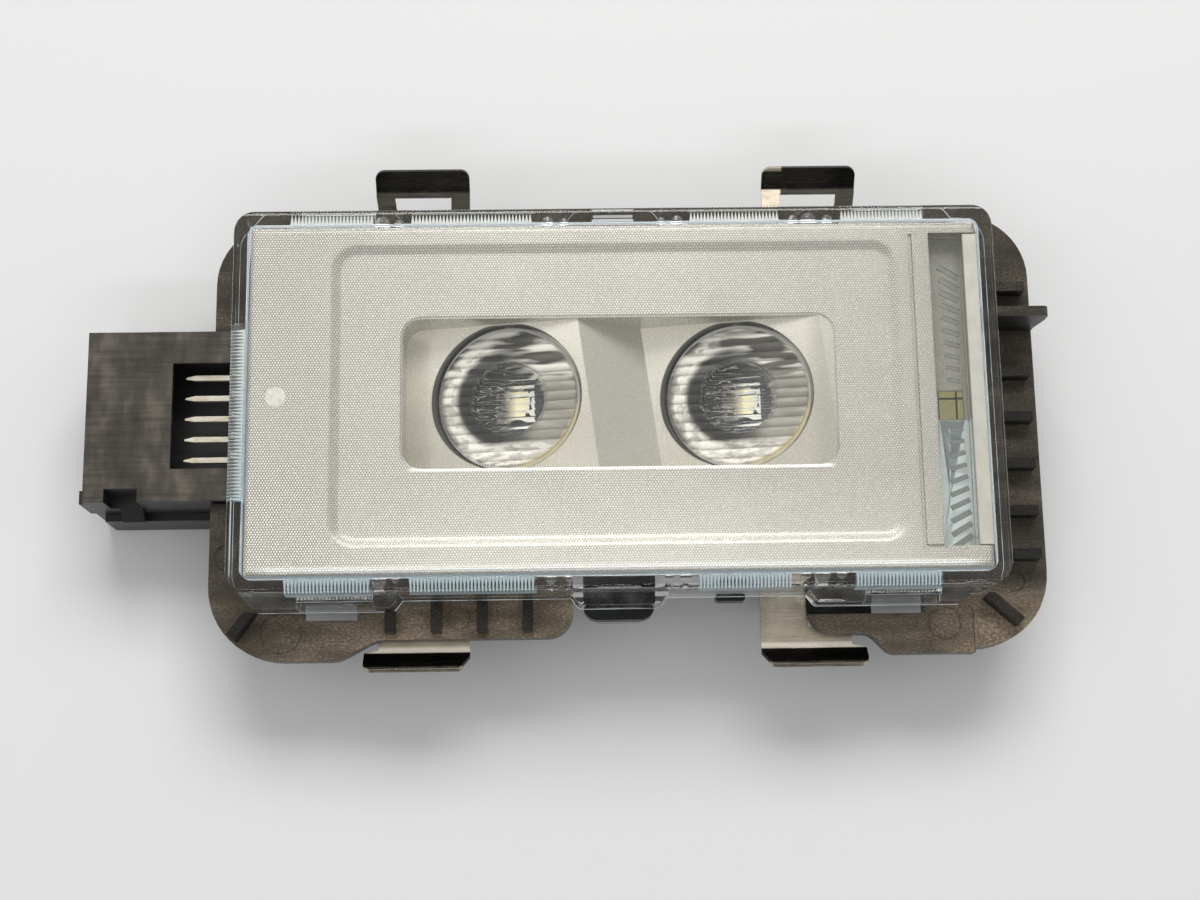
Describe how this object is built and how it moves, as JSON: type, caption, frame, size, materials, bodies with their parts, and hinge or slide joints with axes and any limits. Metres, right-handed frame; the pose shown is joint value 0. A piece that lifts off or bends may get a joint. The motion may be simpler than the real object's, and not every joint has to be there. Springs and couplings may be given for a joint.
{
  "type": "car dome light",
  "caption": "Interior roof lamp with a clear clipped cover, tilted reading lenses in a grey bezel, a side light guide, a plug header and spring clips.",
  "frame": {"origin": "under the centre of the clear cover, on the back face of the base", "axes": "+X along the length, away from the plug header; +Z out of the light face; +Y to the rear long side"},
  "size_m": [0.1152, 0.0622, 0.021],
  "materials": {
    "base_plastic": "fine spark-eroded texture",
    "clear_plastic": "clear, polished, with a dotted inner face",
    "bezel_plastic": "warm silver grey, satin",
    "lens_plastic": "clear, polished, ribbed",
    "guide_plastic": "clear, polished",
    "holder_plastic": "cream white, satin",
    "board_laminate": "black solder mask",
    "led_resin": "yellow phosphor under clear resin",
    "chip_resin": "black moulded resin",
    "capacitor_can": "bright can",
    "header_plastic": "smooth satin black",
    "pin_metal": "tin-plated, pale gold",
    "clip_steel": "spring steel, rolled"
  },
  "bodies": {
    "root": {"base_housing": "base_plastic", "clear_cover": "clear_plastic", "inner_bezel": "bezel_plastic", "lens_left": "lens_plastic", "lens_right": "lens_plastic", "light_guide": "guide_plastic", "guide_holder": "holder_plastic", "circuit_board": "board_laminate", "led_left": "led_resin", "led_right": "led_resin", "led_ambient": "led_resin", "driver_chip": "chip_resin", "filter_capacitors": "capacitor_can", "board_resistors": "chip_resin", "connector_header": "header_plastic", "contact_pin_1": "pin_metal", "contact_pin_2": "pin_metal", "contact_pin_3": "pin_metal", "contact_pin_4": "pin_metal", "contact_pin_5": "pin_metal", "spring_clip_rear_left": "clip_steel", "spring_clip_rear_right": "clip_steel", "spring_clip_front_left": "clip_steel", "spring_clip_front_right": "clip_steel"}
  },
  "joints": []
}
